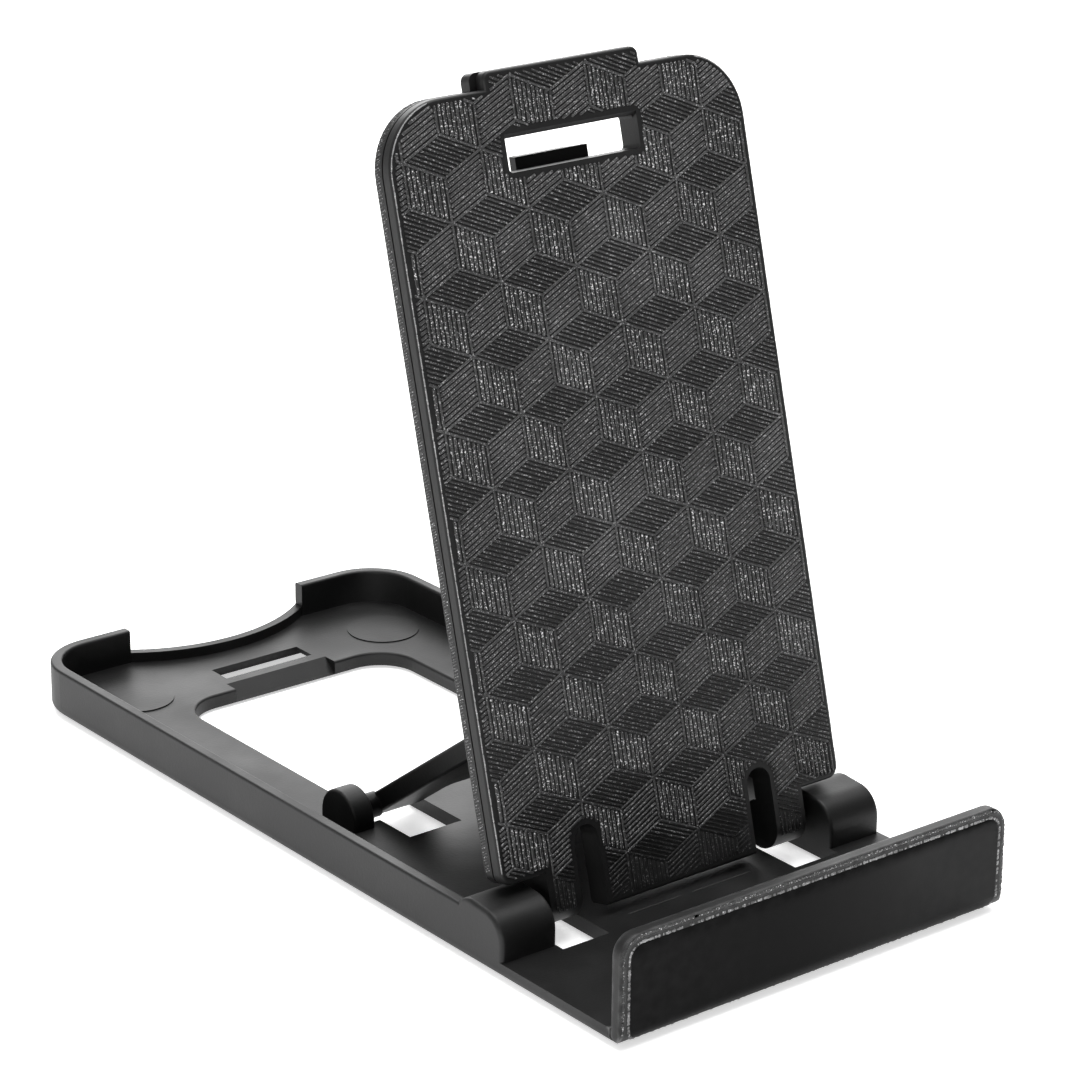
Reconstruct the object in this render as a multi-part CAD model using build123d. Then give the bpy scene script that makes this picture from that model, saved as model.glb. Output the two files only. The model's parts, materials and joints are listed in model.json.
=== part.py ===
"""Folding phone stand: tray base with a front ledge, hinged back plate, folding strut, four pads."""
import os
from build123d import *

# ---- tray ----
TRAY_WIDTH = 58.0
TRAY_LENGTH = 123.4
TRAY_REAR_CORNER = 8.0
FLOOR = 1.85
WALL_HEIGHT = 6.4
WALL = 1.6
EDGE_ROUND = 1.0
LEDGE_HEIGHT = 13.2
LEDGE_THICKNESS = 2.0
LEDGE_CORNER = 2.6
LEDGE_FOOT_ROUND = 2.0
RIM_ROUND = 0.35
ENVELOPE_HEIGHT = 16.0

# ---- finger scoop and openings in the tray floor ----
GAP_HALF = 14.0
SCOOP_DEPTH = 4.7
SCOOP_RIM = 1.2
SCOOP_RIM_TOP = 3.2
WINDOW_HALF = 16.9
WINDOW_FRONT = 66.2
WINDOW_REAR = 105.5
WINDOW_CORNER = 5.5
NOTCH_HALF = 8.0
NOTCH_REAR = 107.8
LEG_WINDOW_INNER = 9.2
LEG_WINDOW_OUTER = 17.05
LEG_WINDOW_FRONT = 54.6
CATCH_HALF = 6.9
CATCH_FRONT = 109.4
CATCH_REAR = 113.0
RELIEF_HALF = 9.0
RELIEF_FRONT = 108.3
RELIEF_REAR = 114.5
RELIEF_DEPTH = 1.25
EAR_WINDOW_INNER = 14.3
EAR_WINDOW_OUTER = 21.1
EAR_WINDOW_FRONT = 19.9
EAR_WINDOW_REAR = 31.2

# ---- rubber pads ----
PAD_X = 20.0
PAD_FRONT_Y = 39.5
PAD_REAR_Y = 111.0
PAD_RADIUS = 4.9
PAD_PROUD = 0.4
PAD_RECESS = 0.9
PAD_RECESS_RADIUS = 5.0
PAD_BOSS = 0.15
PAD_EDGE = 0.25

# ---- plate hinge ----
HINGE_Y = 27.1
HINGE_Z = 4.7
HINGE_PIN = 1.3
HINGE_HOLE = 1.36
HINGE_PIN_END = 24.3
HINGE_HOLE_END = 24.7
KNUCKLE_INNER = 21.1
KNUCKLE_NOSE_Y = 24.6
KNUCKLE_NOSE_Z = 3.9
KNUCKLE_NOSE = 3.5
KNUCKLE_TAIL = 2.9
KNUCKLE_ROUND = 0.6
KNUCKLE_INNER_ROUND = 0.4

# ---- strut hinge ----
PIVOT_Y = 62.9
PIVOT_Z = 3.0
PIVOT_PIN = 1.0
PIVOT_HOLE = 1.06
PIVOT_PIN_END = 20.8
PIVOT_HOLE_END = 21.1
POST_INNER = 18.8
POST_OUTER = 21.8
POST_RADIUS = 3.6
POST_CENTRE_Z = 2.65
BARREL_END = 18.5
BARREL_RADIUS = 1.6
BARREL_POCKET_OUTER = 18.75
BARREL_POCKET_HALF = 2.1

# ---- back plate, drawn flat with the hinge axis at the origin ----
PLATE_ANGLE = 75.2
PLATE_HALF = 25.8
PLATE_BOTTOM = 3.5
PLATE_TOP = 92.3
PLATE_TOP_CORNER = 8.0
PLATE_BOTTOM_CORNER = 1.5
PLATE_FRONT = 3.07
PLATE_THICKNESS = 3.3
PLATE_EDGE = 0.45
PARTING_FROM_REAR = 1.6
PARTING_WIDTH = 0.25
PARTING_DEPTH = 0.3
TAB_HALF = 11.3
TAB_REAR_HALF = 12.1
TAB_TOP = 94.3
TAB_CORNER = 1.0
SLOT_HALF = 9.6
SLOT_LOW = 82.6
SLOT_HIGH = 86.5
SLOT_CORNER = 0.5
SLOT_BEVEL = 0.5
TONGUE_HALF = 11.4
TONGUE_BOTTOM = -2.5
EAR_INNER = 15.0
EAR_OUTER = 19.6
EAR_RADIUS = 3.07
FLEX_TOP = 7.7
SKIN = 1.2
CAVITY_HALF = 24.3
CAVITY_LOW = 9.8
CAVITY_HIGH = 79.0
CAVITY_CORNER = 3.0
RIB_INNER = 16.9
RIB_WIDTH = 1.2
RIB_LOW = 42.0
RIB_HEIGHT = 1.5
RUNG_HALF = 12.0
RUNG_WIDTH = 1.0
RUNG_FIRST = 30.0
RUNG_PITCH = 4.0
RUNG_HEIGHTS = (0.3, 0.5, 0.8, 1.1, 1.3)

# ---- catch behind the slot ----
CATCH_TAB_HALF = 5.3
SHELF_LOW = 80.4
SHELF_HIGH = 82.2
SHELF_DEPTH = 2.27
BARB_TOP = 84.0
BARB_THICKNESS = 1.1
NIB_HALF = 4.0
NIB_LOW = 82.9
NIB_DEPTH = 1.7

# ---- strut, drawn flat with its pivot at the origin ----
STRUT_ANGLE = 143.5
STRUT_HALF = 16.5
STRUT_THICKNESS = 2.6
STRUT_REACH = 38.28
STRUT_RECESS_HALF = 9.5
STRUT_RECESS_TOP = 6.7
STRUT_RECESS_CORNER = 1.2
STRUT_FOOT = 1.9
STRUT_TIP_CORNER = 3.0

REACH = 200.0
TINY = 0.001


def mirrored(shape):
    """The shape and its mirror image across the middle plane."""
    return shape + mirror(shape, about=Plane.YZ)


def span_box(x0, x1, y0, y1, z0, z1):
    """Box given by its limits on each axis."""
    size = Box(x1 - x0, y1 - y0, z1 - z0)
    return Pos((x0 + x1) / 2, (y0 + y1) / 2, (z0 + z1) / 2) * size


def side_profile(points_or_face, x0, x1):
    """Extrude a face drawn as (Y, Z) along X between two limits."""
    plane = Plane(origin=(x0, 0, 0), x_dir=(0, 1, 0), z_dir=(1, 0, 0))
    return extrude(plane * points_or_face, x1 - x0)


def round_corners(sketch, radius, test):
    """Round the sketch corners whose point passes the test."""
    return fillet([v for v in sketch.vertices() if test(v)], radius)


def at_height(edge, height):
    """Whether an edge lies flat at a height."""
    box = edge.bounding_box()
    return abs(box.min.Z - height) < TINY and abs(box.max.Z - height) < TINY


def tray_outline():
    """Plan of the tray: square at the ledge, rounded at the rear."""
    face = Pos(0, TRAY_LENGTH / 2) * Rectangle(TRAY_WIDTH, TRAY_LENGTH)
    return round_corners(face, TRAY_REAR_CORNER, lambda v: v.Y > TRAY_LENGTH / 2)


def tray_envelope():
    """Tall blank of the tray with its rounded lower edge."""
    blank = extrude(tray_outline(), ENVELOPE_HEIGHT)
    low = blank.edges().filter_by_position(Axis.Z, -0.01, 0.01)
    return fillet([e for e in low if e.center().Y > LEDGE_THICKNESS], EDGE_ROUND)


def knuckle():
    """Hinge block for one plate pin, in line with the side wall."""
    nose = Pos(KNUCKLE_NOSE_Y, KNUCKLE_NOSE_Z) * Circle(KNUCKLE_NOSE)
    tail = Pos(HINGE_Y, HINGE_Z) * Circle(KNUCKLE_TAIL)
    front = KNUCKLE_NOSE_Y - KNUCKLE_NOSE
    rear = HINGE_Y + KNUCKLE_TAIL
    body = make_face(Polyline(
        (front, 0), (front, KNUCKLE_NOSE_Z), (KNUCKLE_NOSE_Y, KNUCKLE_NOSE_Z + KNUCKLE_NOSE),
        (HINGE_Y, HINGE_Z + KNUCKLE_TAIL), (rear, HINGE_Z), (rear, 0), close=True))
    block = side_profile(body + nose + tail, KNUCKLE_INNER, TRAY_WIDTH / 2)
    for face, radius in ((-1, KNUCKLE_ROUND), (0, KNUCKLE_INNER_ROUND)):
        rim = block.faces().sort_by(Axis.X)[face].edges()
        block = fillet([e for e in rim if e.center().Z > FLOOR], radius)
    return block


def post():
    """Round-topped post that carries one strut pin."""
    crown = Pos(PIVOT_Y, POST_CENTRE_Z) * Circle(POST_RADIUS)
    stem = Pos(PIVOT_Y, POST_CENTRE_Z / 2) * Rectangle(2 * POST_RADIUS, POST_CENTRE_Z)
    solid = side_profile(crown + stem, POST_INNER, POST_OUTER)
    solid &= span_box(0, TRAY_WIDTH, 0, TRAY_LENGTH, FLOOR / 2, ENVELOPE_HEIGHT)
    return fillet([e for e in solid.edges() if e.center().Z > FLOOR], RIM_ROUND)


def pin(x0, x1, radius, y, z):
    """Cylinder along X."""
    return side_profile(Pos(y, z) * Circle(radius), x0, x1)


def ledge():
    """Upright front ledge with rounded corners."""
    face = Pos(0, LEDGE_HEIGHT / 2) * Rectangle(TRAY_WIDTH, LEDGE_HEIGHT)
    face = round_corners(face, LEDGE_CORNER, lambda v: v.Y > LEDGE_HEIGHT / 2)
    face = round_corners(face, EDGE_ROUND, lambda v: v.Y < LEDGE_HEIGHT / 2)
    solid = extrude(Plane.XZ * face, -LEDGE_THICKNESS)
    front = solid.faces().sort_by(Axis.Y)[0]
    solid = fillet(front.edges(), LEDGE_THICKNESS / 4)
    back = solid.faces().sort_by(Axis.Y)[-1].edges()
    solid = fillet([e for e in back if e.center().Z > LEDGE_THICKNESS], LEDGE_THICKNESS / 4)
    foot = Rectangle(LEDGE_FOOT_ROUND, LEDGE_FOOT_ROUND, align=Align.MIN)
    foot -= Pos(LEDGE_FOOT_ROUND, LEDGE_FOOT_ROUND) * Circle(LEDGE_FOOT_ROUND)
    return solid - side_profile(foot, -TRAY_WIDTH, TRAY_WIDTH)


def pad_places():
    """Centres of the four pads."""
    return [(side * PAD_X, y) for side in (-1, 1) for y in (PAD_FRONT_Y, PAD_REAR_Y)]


def build_tray():
    """Tray with walls, ledge, knuckles, posts and floor openings."""
    envelope = tray_envelope()
    inner = offset(tray_outline(), -WALL, kind=Kind.INTERSECTION)
    hollow = extrude(Pos(0, 0, FLOOR) * inner, ENVELOPE_HEIGHT)
    top_cut = span_box(-TRAY_WIDTH, TRAY_WIDTH, 0, TRAY_LENGTH, WALL_HEIGHT, REACH)
    front_cut = span_box(-TRAY_WIDTH, TRAY_WIDTH, 0, HINGE_Y, FLOOR, REACH)
    foot_cut = span_box(-TRAY_WIDTH, TRAY_WIDTH, 0, LEDGE_THICKNESS, 0, FLOOR)
    gap_cut = span_box(-GAP_HALF, GAP_HALF, TRAY_LENGTH - TRAY_REAR_CORNER, REACH, FLOOR, REACH)
    tray = envelope - hollow - top_cut - front_cut - foot_cut - gap_cut
    rims = [e for e in tray.edges() if at_height(e, WALL_HEIGHT)]
    tray = fillet([e for e in rims if e.center().Y > HINGE_Y + TINY
                   and abs(abs(e.center().X) - GAP_HALF) > TINY], RIM_ROUND)

    window = Pos(0, (WINDOW_FRONT + WINDOW_REAR) / 2) * Rectangle(
        2 * WINDOW_HALF, WINDOW_REAR - WINDOW_FRONT)
    window = round_corners(window, WINDOW_CORNER, lambda v: v.Y > (WINDOW_FRONT + WINDOW_REAR) / 2)
    tray -= extrude(window, FLOOR)
    rims = [e for e in tray.edges() if at_height(e, FLOOR) and abs(e.center().X) <= WINDOW_HALF]
    tray = fillet([e for e in rims if WINDOW_FRONT < e.center().Y - TINY < WINDOW_REAR], RIM_ROUND)

    scoop_radius = (GAP_HALF ** 2 + SCOOP_DEPTH ** 2) / (2 * SCOOP_DEPTH)
    scoop_centre = Pos(0, TRAY_LENGTH - SCOOP_DEPTH + scoop_radius)
    rim = scoop_centre * (Circle(scoop_radius + SCOOP_RIM) - Circle(scoop_radius))
    rim = extrude(rim, SCOOP_RIM_TOP)
    rim &= span_box(-GAP_HALF, GAP_HALF, 0, TRAY_LENGTH, FLOOR / 2, REACH)
    tray = tray + rim - scoop_centre * extrude(Circle(scoop_radius), FLOOR)

    tray += envelope & mirrored(knuckle())
    tray += mirrored(post())
    tray += ledge()

    ramp = make_face(Polyline((WINDOW_REAR, 0), (WINDOW_REAR, FLOOR), (NOTCH_REAR, FLOOR), close=True))
    tray -= side_profile(ramp, -NOTCH_HALF, NOTCH_HALF)
    tray -= span_box(-CATCH_HALF, CATCH_HALF, CATCH_FRONT, CATCH_REAR, 0, FLOOR)
    tray -= span_box(-RELIEF_HALF, RELIEF_HALF, RELIEF_FRONT, RELIEF_REAR, 0, RELIEF_DEPTH)
    tray -= mirrored(span_box(LEG_WINDOW_INNER, LEG_WINDOW_OUTER, LEG_WINDOW_FRONT,
                              WINDOW_FRONT, 0, FLOOR))
    tray -= mirrored(span_box(WINDOW_HALF, BARREL_POCKET_OUTER, PIVOT_Y - BARREL_POCKET_HALF,
                              PIVOT_Y + BARREL_POCKET_HALF, 0, FLOOR))
    tray -= mirrored(span_box(EAR_WINDOW_INNER, EAR_WINDOW_OUTER, EAR_WINDOW_FRONT,
                              EAR_WINDOW_REAR, 0, FLOOR))
    tray -= mirrored(pin(KNUCKLE_INNER, HINGE_HOLE_END, HINGE_HOLE, HINGE_Y, HINGE_Z))
    tray -= mirrored(pin(POST_INNER, PIVOT_HOLE_END, PIVOT_HOLE, PIVOT_Y, PIVOT_Z))
    for x, y in pad_places():
        tray += Pos(x, y, FLOOR) * extrude(Circle(PAD_RADIUS), PAD_BOSS)
        tray -= Pos(x, y) * extrude(Circle(PAD_RECESS_RADIUS), PAD_RECESS)
    return tray


def build_pad(x, y):
    """Soft disc seated in its recess."""
    disc = extrude(Circle(PAD_RADIUS), PAD_RECESS + PAD_PROUD)
    lower = disc.edges().sort_by(Axis.Z)[0]
    return Pos(x, y, -PAD_PROUD) * fillet(lower, PAD_EDGE)


def plate_outline(tab_half):
    """Front view of the panel with its grip tab."""
    panel = Pos(0, (PLATE_BOTTOM + PLATE_TOP) / 2) * Rectangle(
        2 * PLATE_HALF, PLATE_TOP - PLATE_BOTTOM)
    panel = round_corners(panel, PLATE_TOP_CORNER, lambda v: v.Y > PLATE_TOP - 1)
    panel = round_corners(panel, PLATE_BOTTOM_CORNER, lambda v: v.Y < PLATE_BOTTOM + 1)
    tab = Pos(0, (PLATE_TOP + TAB_TOP) / 2) * Rectangle(2 * tab_half, TAB_TOP - PLATE_TOP)
    tab = round_corners(tab, TAB_CORNER, lambda v: v.Y > PLATE_TOP + 1)
    return panel + tab


def build_plate():
    """Back plate: thin front skin, rim, rungs, ears with pins and the rear catch."""
    rear = PLATE_FRONT - PLATE_THICKNESS
    skin_rear = PLATE_FRONT - SKIN
    outline = plate_outline(TAB_HALF)
    panel = extrude(Pos(0, 0, rear) * outline, PLATE_THICKNESS)
    front_edges = panel.faces().sort_by(Axis.Z)[-1].edges()
    panel = fillet(front_edges, PLATE_EDGE)

    inner = offset(outline, -PARTING_DEPTH, kind=Kind.INTERSECTION)
    parting = extrude(Pos(0, 0, rear + PARTING_FROM_REAR) * (outline - inner), PARTING_WIDTH)
    panel -= parting
    panel += extrude(Pos(0, 0, rear) * plate_outline(TAB_REAR_HALF), PARTING_FROM_REAR)
    sides = [e for e in panel.edges().filter_by(Axis.Y) if abs(abs(e.center().X) - PLATE_HALF) < TINY]
    panel = fillet([e for e in sides if at_height(e, rear)], RIM_ROUND)

    cavity = Pos(0, (CAVITY_LOW + CAVITY_HIGH) / 2, rear) * RectangleRounded(
        2 * CAVITY_HALF, CAVITY_HIGH - CAVITY_LOW, CAVITY_CORNER)
    panel -= extrude(cavity, PLATE_THICKNESS - SKIN)
    panel += mirrored(span_box(RIB_INNER, RIB_INNER + RIB_WIDTH, RIB_LOW, CAVITY_HIGH + 1,
                               skin_rear - RIB_HEIGHT, skin_rear + SKIN / 2))
    for index, height in enumerate(RUNG_HEIGHTS):
        low = RUNG_FIRST + index * RUNG_PITCH
        panel += span_box(-RUNG_HALF, RUNG_HALF, low, low + RUNG_WIDTH,
                          skin_rear - height, skin_rear + SKIN / 2)

    tongue = span_box(-TONGUE_HALF, TONGUE_HALF, TONGUE_BOTTOM, PLATE_BOTTOM + 1, rear, PLATE_FRONT)
    tongue_edges = tongue.edges().filter_by(Axis.X)
    tongue = fillet([e for e in tongue_edges if e.center().Y < 0], PLATE_EDGE)
    ear_side = Pos(PLATE_BOTTOM / 2 + 1, (rear + PLATE_FRONT) / 2) * Rectangle(
        PLATE_BOTTOM + 2, PLATE_THICKNESS)
    ear = side_profile(ear_side + Circle(EAR_RADIUS), EAR_INNER, EAR_OUTER)
    ear += pin(EAR_OUTER, HINGE_PIN_END, HINGE_PIN, 0, 0)
    panel = panel + tongue + mirrored(ear)

    flex_width = EAR_INNER - TONGUE_HALF
    flex_middle = (EAR_INNER + TONGUE_HALF) / 2
    flex = span_box(TONGUE_HALF, EAR_INNER, -EAR_RADIUS - 1, FLEX_TOP - flex_width / 2,
                    -EAR_RADIUS, PLATE_FRONT)
    flex += Pos(flex_middle, FLEX_TOP - flex_width / 2, rear) * extrude(
        Circle(flex_width / 2), PLATE_THICKNESS)
    panel -= mirrored(flex)

    slot = Pos(0, (SLOT_LOW + SLOT_HIGH) / 2, rear) * RectangleRounded(
        2 * SLOT_HALF, SLOT_HIGH - SLOT_LOW, SLOT_CORNER)
    panel -= extrude(slot, PLATE_THICKNESS)
    bevel = make_face(Polyline(
        (SLOT_HIGH - SLOT_BEVEL, PLATE_FRONT), (SLOT_HIGH + SLOT_BEVEL, PLATE_FRONT),
        (SLOT_HIGH - SLOT_BEVEL, PLATE_FRONT - 2 * SLOT_BEVEL), close=True))
    panel -= side_profile(bevel, -SLOT_HALF, SLOT_HALF)

    back = rear - SHELF_DEPTH
    panel += span_box(-CATCH_TAB_HALF, CATCH_TAB_HALF, SHELF_LOW, SHELF_HIGH, back, rear + 1)
    panel += span_box(-CATCH_TAB_HALF, CATCH_TAB_HALF, SHELF_HIGH, BARB_TOP,
                      back, back + BARB_THICKNESS)
    panel += span_box(-NIB_HALF, NIB_HALF, NIB_LOW, BARB_TOP, back - NIB_DEPTH, back)
    return panel


def build_strut():
    """Folding strut: flat blade with a round tip, side barrels and pins."""
    half = STRUT_THICKNESS / 2
    foot_centre = half - STRUT_FOOT
    blade = span_box(-STRUT_HALF, STRUT_HALF, foot_centre, STRUT_REACH, -half, half)
    blade += pin(-STRUT_HALF, STRUT_HALF, half, foot_centre, 0)
    blade += pin(-STRUT_HALF, STRUT_HALF, half, STRUT_REACH, 0)
    length = STRUT_FOOT + STRUT_REACH + half
    outline = Pos(0, length / 2 - STRUT_FOOT) * Rectangle(2 * STRUT_HALF, length)
    outline = round_corners(outline, STRUT_TIP_CORNER, lambda v: v.Y > 0)
    recess = Pos(0, (STRUT_RECESS_TOP - STRUT_FOOT) / 2) * Rectangle(
        2 * STRUT_RECESS_HALF, STRUT_RECESS_TOP + STRUT_FOOT)
    outline -= round_corners(recess, STRUT_RECESS_CORNER, lambda v: v.Y > 0)
    blade &= extrude(Pos(0, 0, -half) * outline, STRUT_THICKNESS)
    section = RectangleRounded(2 * STRUT_HALF, STRUT_THICKNESS, RIM_ROUND)
    blade &= extrude(Plane.XZ * section, REACH, both=True)
    side = pin(STRUT_HALF - RIM_ROUND, BARREL_END, BARREL_RADIUS, 0, 0)
    side += pin(STRUT_HALF - 1, PIVOT_PIN_END, PIVOT_PIN, 0, 0)
    return blade + mirrored(side)


def place(shape):
    """Move from the drawing frame to the part frame."""
    return Pos(0, -TRAY_LENGTH / 2, PAD_PROUD) * shape


def main():
    """Build and export every node."""
    os.makedirs("parts", exist_ok=True)
    plate_place = Pos(0, HINGE_Y, HINGE_Z) * Rot(X=PLATE_ANGLE)
    strut_place = Pos(0, PIVOT_Y, PIVOT_Z) * Rot(X=STRUT_ANGLE)
    nodes = {
        "base_tray": build_tray(),
        "back_plate": plate_place * build_plate(),
        "support_strut": strut_place * build_strut(),
    }
    names = ("pad_front_left", "pad_rear_left", "pad_front_right", "pad_rear_right")
    for name, (x, y) in zip(names, pad_places()):
        nodes[name] = build_pad(x, y)
    for name, shape in nodes.items():
        export_step(place(shape), f"parts/{name}.step")


main()
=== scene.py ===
"""Looks of the folding phone stand: satin black plastic, ribbed plate face, scuffed ledge rim with
painted highlight on its edges.
"""
import json
import math
import random

import bmesh
import bpy
import numpy as np
from mathutils import Matrix, Vector


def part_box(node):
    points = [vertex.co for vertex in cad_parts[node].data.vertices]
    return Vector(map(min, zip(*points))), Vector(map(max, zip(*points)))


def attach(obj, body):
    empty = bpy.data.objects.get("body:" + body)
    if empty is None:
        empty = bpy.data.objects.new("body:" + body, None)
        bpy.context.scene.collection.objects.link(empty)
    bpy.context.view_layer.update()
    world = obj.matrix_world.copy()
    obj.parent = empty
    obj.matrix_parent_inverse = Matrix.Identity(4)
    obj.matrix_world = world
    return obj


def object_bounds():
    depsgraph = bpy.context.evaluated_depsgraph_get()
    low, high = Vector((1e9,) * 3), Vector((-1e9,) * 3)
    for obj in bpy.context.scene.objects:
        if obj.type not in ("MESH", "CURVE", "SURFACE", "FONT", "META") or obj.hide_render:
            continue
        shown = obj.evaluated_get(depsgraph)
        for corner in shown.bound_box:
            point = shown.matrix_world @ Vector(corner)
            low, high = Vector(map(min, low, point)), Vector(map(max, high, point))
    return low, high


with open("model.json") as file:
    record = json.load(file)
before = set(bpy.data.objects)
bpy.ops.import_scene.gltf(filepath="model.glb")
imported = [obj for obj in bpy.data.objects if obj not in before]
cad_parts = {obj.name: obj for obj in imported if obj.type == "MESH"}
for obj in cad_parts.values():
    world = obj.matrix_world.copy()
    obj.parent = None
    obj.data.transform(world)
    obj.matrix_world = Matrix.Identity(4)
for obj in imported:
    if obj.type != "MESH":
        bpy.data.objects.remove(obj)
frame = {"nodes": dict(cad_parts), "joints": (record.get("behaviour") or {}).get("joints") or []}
CAD_LOW, CAD_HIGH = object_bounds()

MM = 0.001

# ---- frame places ----
JOINTS = {joint["name"]: joint for joint in frame["joints"]}
HINGE = Vector(JOINTS["plate_fold"]["pos_m"])
LEAN = math.radians(JOINTS["plate_fold"]["range_deg"][1])
TRAY_LOW, TRAY_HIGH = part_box("base_tray")
PLATE_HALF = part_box("back_plate")[1].x / MM

# ---- plate, in millimetres from its hinge axis ----
FRONT = 3.07
REAR = -0.23
PLATE_BOTTOM = 3.5
PLATE_TOP = 92.3
TOP_CORNER = 8.0
BOTTOM_CORNER = 1.5
TAB_HALF = 11.3
TAB_TOP = 94.3
TONGUE_HALF = 11.4
TONGUE_BOTTOM = -2.5
EAR_INNER = 15.0
EAR_OUTER = 19.6
EAR_BOTTOM = -2.0
FLEX_TOP = 7.7
SLOT_HALF = 9.6
SLOT_LOW = 82.6
SLOT_HIGH = 86.5
SLOT_BEVEL = 0.5
SLOT_CORNER = 0.5
TAB_CORNER = 1.0
TONGUE_CORNER = 0.4

# ---- block pattern on the plate, in millimetres ----
BLOCK_WIDTH = 10.85
ROW_PITCH = 7.55
DIAMOND_HALF = 2.45
PATTERN_X = -2.3
PATTERN_Y = 78.4
RIBS_PER_TILE = 8
ROWS_BEYOND = 3
COLUMNS_ASIDE = 4
TILE_INSET = 0.2
RIB_HEIGHT = 0.2
RIB_SINK = 0.03
RIB_TAPER = 0.14
RIB_RING = 0.55
RUN_STEP = 0.04
SHORTEST_RUN = 3 * RIB_TAPER
EDGE_MARGIN = 0.62

# ---- width and unevenness of each kind of rib, and the material slots of two of them ----
TOP_RIB = (0.26, 0.1)
LEFT_RIB = (0.46, 0.7)
RIGHT_RIB = (0.42, 0.2)
BORDER_RIB = (0.36, 0.1)
BORDER_SLOT = 2
FADED_SLOT = 3

# ---- fading of the pattern towards the foot of the plate ----
FADED_BELOW = 3.2
FADE_FROM = -3.0
FADE_LENGTH = 6.0
FADE_LEAST = 0.25

# ---- fine ridges on the side of the plate's rear layer ----
RIDGE_PITCH = 0.34
RIDGE_LEAN = 0.35
RIDGE_WIDTH = 0.2
RIDGE_HEIGHT = 0.07
RIDGE_LOW = 0.25
RIDGE_HIGH = 1.4
RIDGE_SHIFT = 0.4
RIDGE_LOW_SPREAD = 0.2
RIDGE_HIGH_SPREAD = 0.15
RIDGE_BUMPY = 0.8
RIDGE_TAPER = 0.1
RIDGE_STOP = 1.5

# ---- raised pale line on the plate's front edge, a painted highlight ----
LINE_INSET = 0.22
LINE_SINK = 0.06
LINE_PIECE = 2.0
LINE_LAP = 0.25
LINE_WIDTH = 0.2
LINE_HEIGHT = 0.06
LINE_SPREAD = 0.03
LINE_BUMPY = 0.8
LINE_TAPER = 0.3

# ---- ledge panel and rim, in millimetres ----
RIM_SIDE = 1.25
RIM_TOP = 1.15
RIM_FOOT = 0.45
FOOT_ROUND = 2.0
FOOT_CLEAR = 0.3
PAD_PROUD = 0.4
PANEL_CORNER = 1.7
PANEL_PROUD = 0.06
PANEL_LIP = 0.08
PANEL_ROWS = 40
BEAD_WIDTH = 0.42
BEAD_HEIGHT = 0.14
BEAD_RING = 0.22
BEAD_NARROWEST = 0.5
BEAD_WIDTH_SPREAD = 0.8
BEAD_HEIGHT_SPREAD = 1.5
BEAD_BREAK = 0.25
OUTER_BEAD = -0.95
OUTER_HEIGHT = 0.05
CORNER_STEPS = 8

# ---- low ridge on the tray floor in front of the tongue ----
STOP_AHEAD = 4.7
STOP_HALF = 9.5
STOP_FLOOR = 1.85
STOP_BREAK = (-1.2, 0.2)
STOP_WIDTH = 0.45
STOP_HEIGHT = 0.12
STOP_BUMPY = 0.4
STOP_TAPER = 0.4

# ---- plastic: noise scales in cycles per metre, and the span of each noise that shows ----
CLOUD_SCALE = 90.0
SPECK_SCALE = 5200.0
PATCH_SCALE = 700.0
GRAIN_SCALE = 2600.0
CLOUD_SPAN = (0.5, 0.75)
SPECK_SPAN = (0.6, 0.7)
PATCH_SPAN = (0.35, 0.7)
GLOSS_SPAN = (0.3, 0.7)
GRAIN_DEPTH = 0.06 * MM
# edge mask settings: the mask brightens edges, partly as scuffing and partly as painted highlight
EDGE_MASK_RADIUS = 0.8 * MM
EDGE_MASK_TURN = 0.14
EDGE_MASK_SAMPLES = 6
BLUE_TINT = 1.01

# ---- where the tray's ledge edges get extra scuffing and painted highlight, and where its outer sides get a painted reflection, in millimetres from its front or its outer sides ----
LEDGE_SCUFF_AND_HIGHLIGHT_TO = (2.6, 2.0)
SIDE_SHEEN_FROM = (2.6, 8.0)
SIDE_SHEEN_SKIN = (0.15, 0.03)
SIDE_SHEEN_LEVEL = (0.5, 1.1)

# ---- studio, in metres, degrees and watts ----
FLOOR_REACH = 6.0
FLOOR_ROUGHNESS = 0.9
FLOOR_SPECULAR = 0.1
FLOOR_GLOW = 0.55
BRIGHT_SIDE = (-0.55, 0.65, 0.5)
BRIGHT_SPAN = (-0.7, 0.6)
BRIGHT_LEVEL = (0.12, 0.7)
LAMPS = (
    ("overhead", (0.15, 0.05, 0.85), 0.8, 11),
    ("left", (-0.8, -0.62, 0.06), 0.35, 3.5),
    ("rear", (0.62, 0.92, 0.5), 1.0, 11),
)
CAMERA_ANGLES = (-38.5124, 20.5173, 0.5003)
CAMERA_PLACE = (-0.2625, -0.34026, 0.19549)
CAMERA_SENSOR = 36
CAMERA_LENS = 125.381

random.seed(7)


# ---- small mesh helpers ----
def new_piece(name, verts, faces, materials, face_slots=None):
    """Mesh object from points and faces in metres."""
    mesh = bpy.data.meshes.new(name)
    mesh.from_pydata(verts, [], faces)
    for material in materials:
        mesh.materials.append(material)
    if face_slots is not None:
        mesh.polygons.foreach_set("material_index", face_slots)
    mesh.polygons.foreach_set("use_smooth", [True] * len(mesh.polygons))
    shell = bmesh.new()
    shell.from_mesh(mesh)
    bmesh.ops.recalc_face_normals(shell, faces=shell.faces)
    shell.to_mesh(mesh)
    shell.free()
    piece = bpy.data.objects.new(name, mesh)
    bpy.context.scene.collection.objects.link(piece)
    return piece


# ---- plate outline ----
def in_rounded_box(x, y, half, low, high, radius):
    """Signed distance, negative inside, to an upright rectangle with equal corners."""
    qx = np.abs(x) - (half - radius)
    qy = np.abs(y - (low + high) / 2) - ((high - low) / 2 - radius)
    outside = np.hypot(np.maximum(qx, 0), np.maximum(qy, 0))
    return outside + np.minimum(np.maximum(qx, qy), 0) - radius


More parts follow.
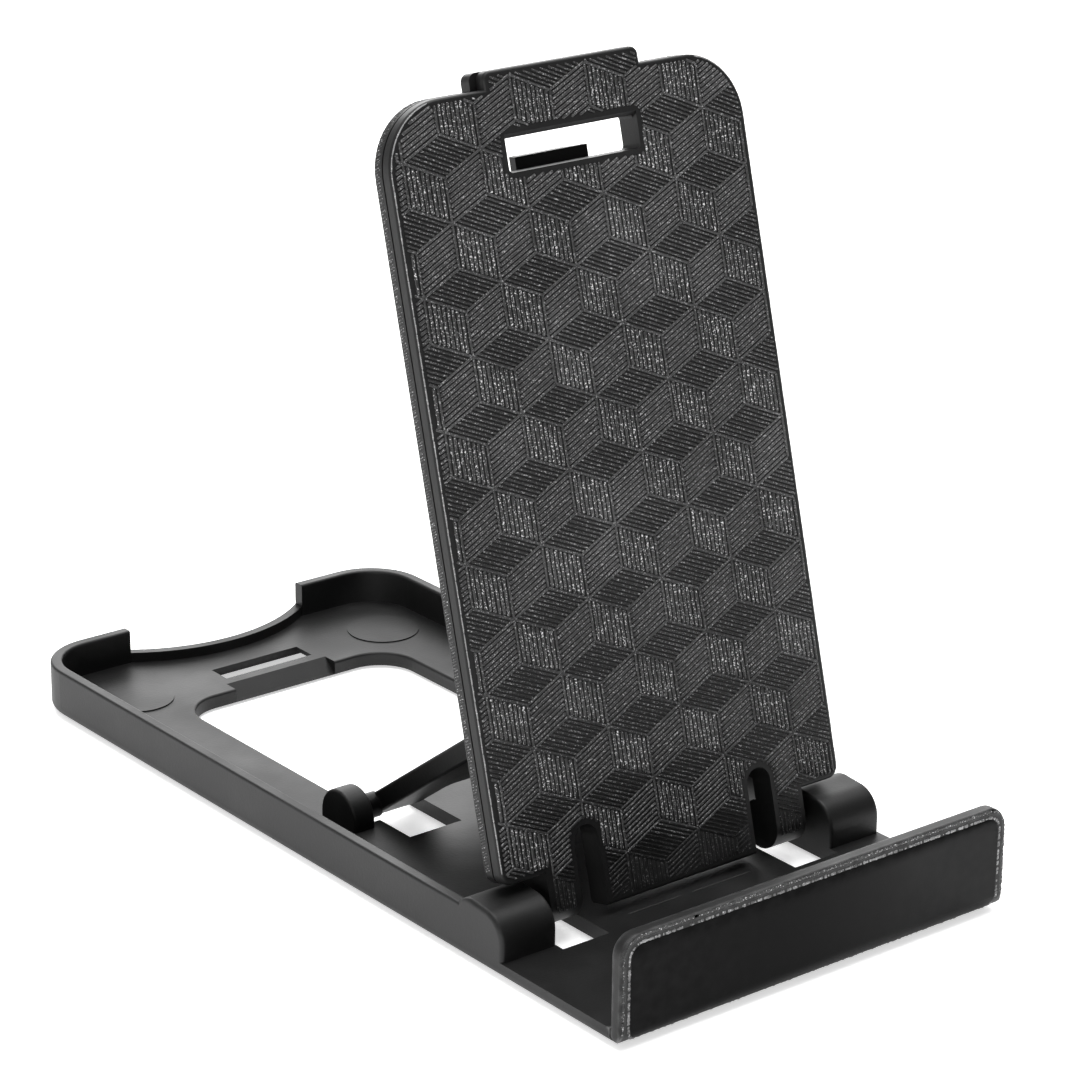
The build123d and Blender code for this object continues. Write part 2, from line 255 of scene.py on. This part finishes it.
def face_distance(x, y):
    """Signed distance to the edge of the plate's front face, negative inside."""
    wide = in_rounded_box(x, y, PLATE_HALF, PLATE_BOTTOM, PLATE_TOP, TOP_CORNER)
    lower = in_rounded_box(x, y, PLATE_HALF, PLATE_BOTTOM, PLATE_TOP - TOP_CORNER, BOTTOM_CORNER)
    tab = in_rounded_box(x, y, TAB_HALF, PLATE_TOP - TOP_CORNER, TAB_TOP, TAB_CORNER)
    tongue = in_rounded_box(x, y, TONGUE_HALF, TONGUE_BOTTOM, PLATE_TOP / 2, TONGUE_CORNER)
    middle = np.abs(x) - (EAR_INNER + EAR_OUTER) / 2
    ear_half = (EAR_OUTER - EAR_INNER) / 2
    ear = in_rounded_box(middle, y, ear_half, EAR_BOTTOM, PLATE_TOP / 2, TONGUE_CORNER)
    body = np.minimum.reduce([wide, lower, tab, tongue, ear])
    flex_half = (EAR_INNER - TONGUE_HALF) / 2
    gap = np.abs(x) - (EAR_INNER + TONGUE_HALF) / 2
    flex = in_rounded_box(gap, y, flex_half, -2 * FLEX_TOP, FLEX_TOP, flex_half)
    slot = in_rounded_box(x, y, SLOT_HALF, SLOT_LOW, SLOT_HIGH + SLOT_BEVEL, SLOT_CORNER)
    return np.maximum.reduce([body, -flex, -slot])


# ---- ribs ----
RIB_PROFILE = ((-1.0, 0.0), (-0.62, 0.72), (0.0, 1.0), (0.62, 0.72), (1.0, 0.0))


def add_rib(verts, faces, start, end, to_space, width, height, bumpy, taper=RIB_TAPER):
    """Low rounded bar from start to end, sunk a little into the surface, with tapered ends."""
    run = end - start
    length = run.length
    along = run / length
    across = Vector((along.y, -along.x))
    straight = length - 2 * taper
    inner = max(1, round(straight / RIB_RING))
    stations = [0.0]
    stations += [taper + straight * i / inner for i in range(inner + 1)]
    stations.append(length)
    first = len(verts)
    rings = len(stations)
    for index, station in enumerate(stations):
        tip = index in (0, rings - 1)
        crest = 0.0 if tip else height * (1 + bumpy * (random.random() - 0.5))
        reach = width / 2 * (0.45 if tip else 1.0)
        centre = start + along * station
        for side, rise in RIB_PROFILE:
            place = centre + across * (side * reach)
            verts.append(to_space(place.x, place.y, rise * crest - RIB_SINK))
    points = len(RIB_PROFILE)
    for ring in range(rings - 1):
        base = first + ring * points
        for k in range(points):
            j = (k + 1) % points
            faces.append((base + k, base + points + k, base + points + j, base + j))
    faces.append(tuple(first + k for k in range(points)))
    last = first + (rings - 1) * points
    faces.append(tuple(last + k for k in reversed(range(points))))


def tile_lines(centre, edge, step, count):
    """Lines parallel to one edge of a parallelogram tile, inset from its border."""
    shrink = 1 - 2 * TILE_INSET / edge.length
    for i in range(count):
        middle = centre + step * ((i + 1) / (count + 1) - 0.5)
        yield middle - edge * (shrink / 2), middle + edge * (shrink / 2)


def inside_runs(start, end):
    """Parts of a line that lie on the plate's face, clear of its edges."""
    length = (end - start).length
    steps = max(2, int(length / RUN_STEP))
    t = np.linspace(0, 1, steps)
    x = start.x + (end.x - start.x) * t
    y = start.y + (end.y - start.y) * t
    keep = face_distance(x, y) < -EDGE_MARGIN
    run_start = None
    for i in range(steps):
        if keep[i] and run_start is None:
            run_start = t[i]
        if run_start is not None and (not keep[i] or i == steps - 1):
            if (t[i] - run_start) * length > SHORTEST_RUN:
                yield start.lerp(end, run_start), start.lerp(end, t[i])
            run_start = None


PLATE_PLACE = Matrix.Translation(HINGE) @ Matrix.Rotation(LEAN, 4, "X")


def on_front(x, y, z):
    """Point off the plate's front face, in the shared frame."""
    return PLATE_PLACE @ Vector((x * MM, y * MM, (FRONT + z) * MM))


def plate_relief(materials):
    """Ribs and borders of the block pattern over the plate's face, tab, tongue and ears."""
    half = BLOCK_WIDTH / 2
    side_height = ROW_PITCH - DIAMOND_HALF
    down_right = Vector((half, -DIAMOND_HALF))
    up_right = Vector((half, DIAMOND_HALF))
    upright = Vector((0, side_height))
    below = -(DIAMOND_HALF + side_height) / 2
    tiles = (
        (Vector((0, 0)), down_right, up_right, TOP_RIB),
        (Vector((-half / 2, below)), upright, down_right, LEFT_RIB),
        (Vector((half / 2, below)), up_right, upright, RIGHT_RIB),
    )
    left, foot = Vector((-half, 0)), Vector((0, -DIAMOND_HALF))
    borders = ((left, up_right), (-foot, down_right), (foot, up_right), (left, down_right),
               (left, -upright), (foot, -upright))
    verts, faces, slots = [], [], []
    rows = range(-ROWS_BEYOND, int(PATTERN_Y / ROW_PITCH) + ROWS_BEYOND)
    columns = range(-COLUMNS_ASIDE, COLUMNS_ASIDE + 1)
    for row in rows:
        for column in columns:
            shift = half if row % 2 else 0
            origin = Vector((PATTERN_X + column * BLOCK_WIDTH + shift,
                             PATTERN_Y - row * ROW_PITCH))
            lines = [(kind, line, rib)
                     for kind, (offset, edge, step, rib) in enumerate(tiles)
                     for line in tile_lines(origin + offset, edge, step, RIBS_PER_TILE)]
            lines += [(BORDER_SLOT, (origin + start, origin + start + run), BORDER_RIB)
                      for start, run in borders]
            for kind, (start, end), (width, bumpy) in lines:
                for a, b in inside_runs(start, end):
                    height = (a.y + b.y) / 2
                    fade = min(1.0, max(FADE_LEAST, (height - FADE_FROM) / FADE_LENGTH))
                    before = len(faces)
                    add_rib(verts, faces, a, b, on_front, width, RIB_HEIGHT * fade, bumpy)
                    # the three tile kinds take lit and shaded copies of the rib material (painted
                    # light); low ribs take the faded one
                    slot = FADED_SLOT if height < FADED_BELOW else kind
                    slots += [slot] * (len(faces) - before)
    return new_piece("plate_ribs", verts, faces, materials, slots)


def side_point(run):
    """Place and outward direction on the plate's edge, by distance up its side and corner."""
    straight = PLATE_TOP - TOP_CORNER - PLATE_BOTTOM - BOTTOM_CORNER
    if run < straight:
        return PLATE_HALF, PLATE_BOTTOM + BOTTOM_CORNER + run, 1.0, 0.0
    turn = (run - straight) / TOP_CORNER
    if turn < math.pi / 2:
        out_x, out_y = math.cos(turn), math.sin(turn)
        return (PLATE_HALF - TOP_CORNER + TOP_CORNER * out_x,
                PLATE_TOP - TOP_CORNER + TOP_CORNER * out_y, out_x, out_y)
    beyond = run - straight - TOP_CORNER * math.pi / 2
    return PLATE_HALF - TOP_CORNER - beyond, PLATE_TOP, 0.0, 1.0


def plate_edge_ridges(material):
    """Slanted fine ridges up both sides and over the top corners of the plate's rear layer."""
    verts, faces = [], []
    length = (PLATE_TOP - TOP_CORNER - PLATE_BOTTOM - BOTTOM_CORNER + TOP_CORNER * math.pi / 2
              + PLATE_HALF - TOP_CORNER - TAB_HALF - RIDGE_STOP)
    for side in (-1, 1):
        def on_side(run, depth, out, side=side):
            x, y, out_x, out_y = side_point(run)
            return PLATE_PLACE @ Vector((side * (x + out_x * out) * MM, (y + out_y * out) * MM,
                                         (REAR + depth) * MM))
        for index in range(int(length / RIDGE_PITCH) - 1):
            run = (index + RIDGE_SHIFT * random.random()) * RIDGE_PITCH
            start = Vector((run, RIDGE_LOW + RIDGE_LOW_SPREAD * random.random()))
            end = Vector((run + RIDGE_LEAN, RIDGE_HIGH - RIDGE_HIGH_SPREAD * random.random()))
            add_rib(verts, faces, start, end, on_side, RIDGE_WIDTH, RIDGE_HEIGHT,
                    RIDGE_BUMPY, RIDGE_TAPER)
    return new_piece("plate_edge_ridges", verts, faces, [material])


def plate_edge_line(material):
    """Raised pale line, a painted highlight, up both sides and over the top corners of the plate's
    front edge.
    """
    verts, faces = [], []
    straight = PLATE_TOP - TOP_CORNER - PLATE_BOTTOM - BOTTOM_CORNER
    length = straight + TOP_CORNER * math.pi / 2
    for side in (-1, 1):
        def on_edge(run, across, out, side=side):
            x, y, out_x, out_y = side_point(run)
            inward = LINE_INSET + across
            return on_front(side * (x - out_x * inward), y - out_y * inward,
                            out - LINE_SINK)
        for index in range(int(length / LINE_PIECE)):
            start = Vector((index * LINE_PIECE, LINE_SPREAD * random.random()))
            end = Vector(((index + 1) * LINE_PIECE + LINE_LAP, LINE_SPREAD * random.random()))
            add_rib(verts, faces, start, end, on_edge, LINE_WIDTH, LINE_HEIGHT,
                    LINE_BUMPY, LINE_TAPER)
    return new_piece("plate_edge_line", verts, faces, [material])


# ---- ledge ----
def panel_limits(inset):
    """Half width, bottom and top of the ledge's panel, and its corner radius."""
    half = TRAY_HIGH.x / MM - RIM_SIDE - inset
    low = TRAY_LOW.z / MM + RIM_FOOT + inset
    high = TRAY_HIGH.z / MM - RIM_TOP - inset
    return half, low, high, PANEL_CORNER - inset


def ledge_loop(inset):
    """Rounded outline of the ledge's panel as places (x, z) and outward directions (x, z)."""
    half, low, high, radius = panel_limits(inset)
    centres = ((half - radius, high - radius), (radius - half, high - radius),
               (radius - half, low + radius), (half - radius, low + radius))
    points = []
    for quarter, (cx, cz) in enumerate(centres):
        for step in range(CORNER_STEPS + 1):
            turn = math.pi / 2 * (quarter + step / CORNER_STEPS)
            out = (math.cos(turn), math.sin(turn))
            points.append(((cx + radius * out[0], cz + radius * out[1]), out))
    return points


def split_long(points, longest):
    """More points along the straight stretches of a closed loop."""
    finer = []
    for (place, out), (after, out_after) in zip(points, points[1:] + points[:1]):
        gap = math.dist(place, after)
        parts = max(1, round(gap / longest))
        for part in range(parts):
            t = part / parts
            finer.append((tuple(a + (b - a) * t for a, b in zip(place, after)),
                          tuple(a + (b - a) * t for a, b in zip(out, out_after))))
    return finer


def on_ledge(x, z, proud):
    """Point off the ledge's front face, which curves back at its foot and is kept off the floor."""
    z = max(z, TRAY_LOW.z / MM + FOOT_CLEAR)
    drop = max(0.0, FOOT_ROUND - (z - TRAY_LOW.z / MM))
    lean = math.asin(min(1.0, drop / FOOT_ROUND))
    back = FOOT_ROUND * (1 - math.cos(lean)) - proud * math.cos(lean)
    return Vector((x * MM, TRAY_LOW.y + back * MM, (z - proud * math.sin(lean)) * MM))


def ledge_panel(material):
    """Smooth panel set inside the rim of the ledge, with softened edges."""
    half, low, high, radius = panel_limits(0.0)
    verts, faces = [], []
    heights = [low + (high - low) * (1 - math.cos(math.pi * i / PANEL_ROWS)) / 2
               for i in range(PANEL_ROWS + 1)]
    for row, z in enumerate(heights):
        from_end = min(z - low, high - z)
        cut = max(0.0, radius - from_end)
        reach = half - radius + math.sqrt(radius ** 2 - cut ** 2)
        outer = row in (0, PANEL_ROWS)
        for x in (-reach, PANEL_LIP - reach, reach - PANEL_LIP, reach):
            sunk = outer or abs(x) == reach
            verts.append(on_ledge(x, z, -PANEL_PROUD if sunk else PANEL_PROUD))
    for row in range(PANEL_ROWS):
        for k in range(3):
            a = row * 4 + k
            faces.append((a, a + 1, a + 5, a + 4))
    panel = new_piece("ledge_panel", verts, faces, [material])
    thick = panel.modifiers.new("thickness", "SOLIDIFY")
    thick.thickness = 2 * PANEL_PROUD * MM
    thick.offset = -1
    return panel


def ledge_bead(name, inset, height, material):
    """Worn raised bead round the ledge, ragged in width and broken where its height is nil."""
    loop = split_long(ledge_loop(inset), BEAD_RING)
    verts, faces = [], []
    for (x, z), (out_x, out_z) in loop:
        width = BEAD_WIDTH / 2 * (BEAD_NARROWEST + BEAD_WIDTH_SPREAD * random.random())
        crest = height * max(0.0, BEAD_HEIGHT_SPREAD * random.random() - BEAD_BREAK)
        for side, rise in RIB_PROFILE:
            verts.append(on_ledge(x + out_x * side * width, z + out_z * side * width,
                                  rise * crest - RIB_SINK))
    points = len(RIB_PROFILE)
    count = len(loop)
    for ring in range(count):
        a, b = ring * points, (ring + 1) % count * points
        for k in range(points):
            j = (k + 1) % points
            faces.append((a + k, a + j, b + j, b + k))
    return new_piece(name, verts, faces, [material])


def floor_ridge(material):
    """Low uneven ridge across the tray floor in front of the plate's tongue."""
    verts, faces = [], []

    def on_floor(x, y, rise):
        return Vector((x * MM, y * MM, (PAD_PROUD + STOP_FLOOR + rise) * MM))

    across = HINGE.y / MM - STOP_AHEAD
    for start, end in ((-STOP_HALF, STOP_BREAK[0]), (STOP_BREAK[1], STOP_HALF)):
        add_rib(verts, faces, Vector((start, across)), Vector((end, across)), on_floor,
                STOP_WIDTH, STOP_HEIGHT, STOP_BUMPY, STOP_TAPER)
    return new_piece("floor_ridge", verts, faces, [material])


# ---- materials ----
def add_node(tree, kind, **settings):
    """Node with its properties and input values set."""
    made = tree.nodes.new(kind)
    for key, value in settings.items():
        if hasattr(made, key):
            setattr(made, key, value)
        else:
            made.inputs[key.replace("_", " ")].default_value = value
    return made


def noise(tree, where, scale, detail=2.0):
    """Noise texture read in object space, with its scale in cycles per metre."""
    made = add_node(tree, "ShaderNodeTexNoise", Scale=scale, Detail=detail)
    tree.links.new(where, made.inputs["Vector"])
    return made.outputs["Fac"]


def ramp(tree, value, low, high, out_low=0.0, out_high=1.0):
    """Clamped linear map of a value."""
    made = add_node(tree, "ShaderNodeMapRange")
    made.clamp = True
    limits = {"From Min": low, "From Max": high, "To Min": out_low, "To Max": out_high}
    for key, number in limits.items():
        made.inputs[key].default_value = number
    tree.links.new(value, made.inputs["Value"])
    return made.outputs["Result"]


def math_node(tree, operation, a, b):
    """Two-input arithmetic on sockets or numbers."""
    made = add_node(tree, "ShaderNodeMath", operation=operation)
    for socket, value in zip(made.inputs, (a, b)):
        if isinstance(value, (int, float)):
            socket.default_value = value
        else:
            tree.links.new(value, socket)
    return made.outputs[0]


def grey(level):
    """Neutral colour with a trace of blue."""
    return (level, level, level * BLUE_TINT, 1.0)


def edge_mask(tree):
    """Bright where the surface turns sharply close by."""
    bevel = add_node(tree, "ShaderNodeBevel", samples=EDGE_MASK_SAMPLES, Radius=EDGE_MASK_RADIUS)
    flat = add_node(tree, "ShaderNodeNewGeometry")
    dot = add_node(tree, "ShaderNodeVectorMath", operation="DOT_PRODUCT")
    tree.links.new(bevel.outputs[0], dot.inputs[0])
    tree.links.new(flat.outputs["Normal"], dot.inputs[1])
    return ramp(tree, dot.outputs["Value"], 1.0, 1.0 - EDGE_MASK_TURN)


def tray_scuff_and_sheen(tree, where, clouds, edge_scuff_and_highlight, ledge_scuff_and_highlight, side_sheen):
    """Extra scuffing and painted highlight on the ledge's edges, and a painted reflection that
    lightens the outer sides behind it.
    """
    apart = add_node(tree, "ShaderNodeSeparateXYZ")
    tree.links.new(where, apart.inputs[0])
    depth = apart.outputs["Y"]
    # ledge edges near the front: extra scuffing and painted highlight
    near = ramp(tree, depth, *(TRAY_LOW.y + back * MM for back in LEDGE_SCUFF_AND_HIGHLIGHT_TO))
    on_ledge_edges = math_node(tree, "MULTIPLY", near, edge_scuff_and_highlight)
    ledge = math_node(tree, "MULTIPLY", on_ledge_edges, ledge_scuff_and_highlight)
    # painted reflection: the outer sides behind the ledge are made paler, as if lit by the floor
    aside = math_node(tree, "ABSOLUTE", apart.outputs["X"], 0.0)
    outer = ramp(tree, aside, *(TRAY_HIGH.x - skin * MM for skin in SIDE_SHEEN_SKIN))
    behind = ramp(tree, depth, *(TRAY_LOW.y + back * MM for back in SIDE_SHEEN_FROM))
    cloudy = ramp(tree, clouds, *GLOSS_SPAN, *SIDE_SHEEN_LEVEL)
    side_sheen_mask = math_node(tree, "MULTIPLY", math_node(tree, "MULTIPLY", outer, cloudy), behind)
    return math_node(tree, "ADD", ledge, math_node(tree, "MULTIPLY", side_sheen_mask, side_sheen))


def satin_black(name, base, scuff_and_sheen_grey, rough, grain=0.25, specular=0.5, scuff_and_highlight=0.3, specks=0.0,
                cloud=0.05, ledge_scuff_and_highlight=0.0, side_sheen=0.0):
    """Moulded black plastic: fine grain, cloudy gloss, edges brightened by scuffing and painted
    highlight, pale specks, and on the tray a painted reflection on its outer sides.
    """
    material = bpy.data.materials.new(name)
    material.use_nodes = True
    tree = material.node_tree
    shader = tree.nodes["Principled BSDF"]
    shader.inputs["Specular IOR Level"].default_value = specular
    where = add_node(tree, "ShaderNodeTexCoord").outputs["Object"]
    clouds = noise(tree, where, CLOUD_SCALE, 4.0)
    fine = noise(tree, where, GRAIN_SCALE, 3.0)
    dust = noise(tree, where, SPECK_SCALE, 1.0)

    # edges brightened partly as scuffing and partly as painted highlight
    patchy = ramp(tree, noise(tree, where, PATCH_SCALE, 3.0), *PATCH_SPAN)
    edge_scuff_and_highlight = math_node(tree, "MULTIPLY", edge_mask(tree), patchy)
    amount = math_node(tree, "MULTIPLY", edge_scuff_and_highlight, scuff_and_highlight)
    if ledge_scuff_and_highlight:
        more = tray_scuff_and_sheen(tree, where, clouds, edge_scuff_and_highlight, ledge_scuff_and_highlight, side_sheen)
        amount = math_node(tree, "ADD", amount, more)
    cloudy = math_node(tree, "MULTIPLY", ramp(tree, clouds, *CLOUD_SPAN), cloud)
    amount = math_node(tree, "ADD", amount, cloudy)
    if specks:
        dots = math_node(tree, "MULTIPLY", ramp(tree, dust, *SPECK_SPAN), specks)
        amount = math_node(tree, "ADD", amount, dots)
    colour = add_node(tree, "ShaderNodeMix", data_type="RGBA")
    colour.inputs[6].default_value = grey(base)
    # pale grey mixed in for scuffing, specks and cloudy tone, and also for painted highlight and
    # painted reflection
    colour.inputs[7].default_value = grey(scuff_and_sheen_grey)
    tree.links.new(amount, colour.inputs[0])
    tree.links.new(colour.outputs[2], shader.inputs["Base Color"])
    gloss = ramp(tree, clouds, *GLOSS_SPAN, *rough)
    tree.links.new(gloss, shader.inputs["Roughness"])
    bump = add_node(tree, "ShaderNodeBump", Strength=grain, Distance=GRAIN_DEPTH)
    tree.links.new(fine, bump.inputs["Height"])
    tree.links.new(bump.outputs["Normal"], shader.inputs["Normal"])
    return material


def paint(node, material):
    """Put a material on a CAD node through its slots."""
    mesh = frame["nodes"][node].data
    if not mesh.materials:
        mesh.materials.append(material)
    for index in range(len(mesh.materials)):
        mesh.materials[index] = material


# tray: edges brightened by scuffing and painted highlight, more on the ledge, and outer sides
# lightened by a painted reflection
TRAY_BLACK = satin_black("tray_black", base=0.004, scuff_and_sheen_grey=0.12, rough=(0.42, 0.56),
                         specular=0.28, scuff_and_highlight=0.05, ledge_scuff_and_highlight=2.4, side_sheen=0.09)
PLATE_BLACK = satin_black("plate_black", base=0.009, scuff_and_sheen_grey=0.2, rough=(0.36, 0.48),
                          specular=0.2, scuff_and_highlight=0.0, cloud=0.01)
STRUT_BLACK = satin_black("strut_black", base=0.004, scuff_and_sheen_grey=0.05, rough=(0.36, 0.46),
                          specular=0.12)
PAD_BLACK = satin_black("pad_black", base=0.012, scuff_and_sheen_grey=0.04, rough=(0.75, 0.9), grain=0.5,
                        specular=0.3)
PANEL_BLACK = satin_black("panel_black", base=0.0055, scuff_and_sheen_grey=0.02, rough=(0.4, 0.46), grain=0.08,
                          specular=0.04)
BEAD_BLACK = satin_black("bead_black", base=0.02, scuff_and_sheen_grey=0.5, rough=(0.35, 0.5), specks=0.8,
                         scuff_and_highlight=0.4, cloud=0.3)
# lit and shaded copies of the rib material, painted light: the top ribs get a darker base grey as
# painted shade, the left ribs the palest and most specks as painted highlight
RIB_TOP = satin_black("rib_top", base=0.016, scuff_and_sheen_grey=0.7, rough=(0.4, 0.5), scuff_and_highlight=0.0, specks=0.6,
                      cloud=0.04, specular=0.35)
RIB_LEFT = satin_black("rib_left", base=0.024, scuff_and_sheen_grey=0.9, rough=(0.3, 0.4), scuff_and_highlight=0.0, specks=0.8,
                       cloud=0.04, specular=0.4)
RIB_RIGHT = satin_black("rib_right", base=0.024, scuff_and_sheen_grey=0.6, rough=(0.34, 0.44), scuff_and_highlight=0.0,
                        specks=0.5, cloud=0.05, specular=0.4)
RIB_FADED = satin_black("rib_faded", base=0.009, scuff_and_sheen_grey=0.35, rough=(0.4, 0.5), scuff_and_highlight=0.0,
                        specks=0.3, cloud=0.03, specular=0.2)
# painted highlight: pale grey for the line along the plate's front edge
LINE_GREY = satin_black("line_grey", base=0.2, scuff_and_sheen_grey=0.6, rough=(0.3, 0.42), scuff_and_highlight=0.0,
                        specks=0.8, cloud=0.3)

paint("base_tray", TRAY_BLACK)
paint("back_plate", PLATE_BLACK)
paint("support_strut", STRUT_BLACK)
for node in frame["nodes"]:
    if node.startswith("pad_"):
        paint(node, PAD_BLACK)

ON_PLATE = (
    plate_relief([RIB_TOP, RIB_LEFT, RIB_RIGHT, RIB_FADED]),
    plate_edge_ridges(RIB_TOP),
    plate_edge_line(LINE_GREY),
)
ON_TRAY = (
    ledge_panel(PANEL_BLACK),
    ledge_bead("ledge_bead", -BEAD_WIDTH / 2, BEAD_HEIGHT, BEAD_BLACK),
    ledge_bead("ledge_outer_bead", OUTER_BEAD, OUTER_HEIGHT, RIB_TOP),
    floor_ridge(TRAY_BLACK),
)
for piece in ON_PLATE:
    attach(piece, "plate")
for piece in ON_TRAY:
    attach(piece, "tray")


# ---- floor, light and camera ----
def build_floor():
    """Wide pale floor that runs to a far horizon and glows a little to stay white."""
    corners = [(x * FLOOR_REACH, y * FLOOR_REACH, 0) for x, y in ((-1, -1), (1, -1), (1, 1), (-1, 1))]
    mesh = bpy.data.meshes.new("floor")
    mesh.from_pydata(corners, [], [(0, 1, 2, 3)])
    floor = bpy.data.objects.new("floor", mesh)
    bpy.context.scene.collection.objects.link(floor)
    material = bpy.data.materials.new("floor_white")
    material.use_nodes = True
    shader = material.node_tree.nodes["Principled BSDF"]
    shader.inputs["Base Color"].default_value = (0.9, 0.9, 0.9, 1)
    shader.inputs["Roughness"].default_value = FLOOR_ROUGHNESS
    shader.inputs["Specular IOR Level"].default_value = FLOOR_SPECULAR
    shader.inputs["Emission Color"].default_value = (1, 1, 1, 1)
    shader.inputs["Emission Strength"].default_value = FLOOR_GLOW
    mesh.materials.append(material)


def area_light(name, place, target, size, watts):
    """Square soft light aimed at a point."""
    lamp = bpy.data.lights.new(name, "AREA")
    lamp.size = size
    lamp.energy = watts
    light = bpy.data.objects.new(name, lamp)
    light.location = place
    light.rotation_euler = (target - place).to_track_quat("-Z", "Y").to_euler()
    bpy.context.scene.collection.objects.link(light)


def build_light():
    """Surroundings that are brighter towards the rear left, and the soft boxes."""
    world = bpy.data.worlds.new("studio")
    bpy.context.scene.world = world
    world.use_nodes = True
    tree = world.node_tree
    background = tree.nodes["Background"]
    background.inputs["Color"].default_value = (1, 1, 1, 1)
    direction = add_node(tree, "ShaderNodeTexCoord").outputs["Generated"]
    toward = add_node(tree, "ShaderNodeVectorMath", operation="DOT_PRODUCT")
    toward.inputs[1].default_value = Vector(BRIGHT_SIDE).normalized()
    tree.links.new(direction, toward.inputs[0])
    glow = ramp(tree, toward.outputs["Value"], *BRIGHT_SPAN, *BRIGHT_LEVEL)
    tree.links.new(glow, background.inputs["Strength"])
    centre = (CAD_LOW + CAD_HIGH) / 2
    for name, offset, size, watts in LAMPS:
        area_light(name, centre + Vector(offset), centre, size, watts)


def build_camera():
    """Long lens looking down on the front left of the stand."""
    azimuth, elevation, roll = (math.radians(angle) for angle in CAMERA_ANGLES)
    data = bpy.data.cameras.new("camera")
    data.sensor_width = CAMERA_SENSOR
    data.lens = CAMERA_LENS
    camera = bpy.data.objects.new("camera", data)
    bpy.context.scene.collection.objects.link(camera)
    back = Vector((math.sin(azimuth) * math.cos(elevation),
                   -math.cos(azimuth) * math.cos(elevation),
                   math.sin(elevation)))
    level = Vector((math.cos(azimuth), math.sin(azimuth), 0))
    up = back.cross(level)
    right = level * math.cos(roll) + up * math.sin(roll)
    upright = up * math.cos(roll) - level * math.sin(roll)
    place = Matrix((right, upright, back)).transposed().to_4x4()
    place.translation = Vector(CAMERA_PLACE)
    camera.matrix_world = place
    bpy.context.scene.camera = camera


build_floor()
build_light()
build_camera()

bpy.context.scene.view_settings.view_transform = "Standard"
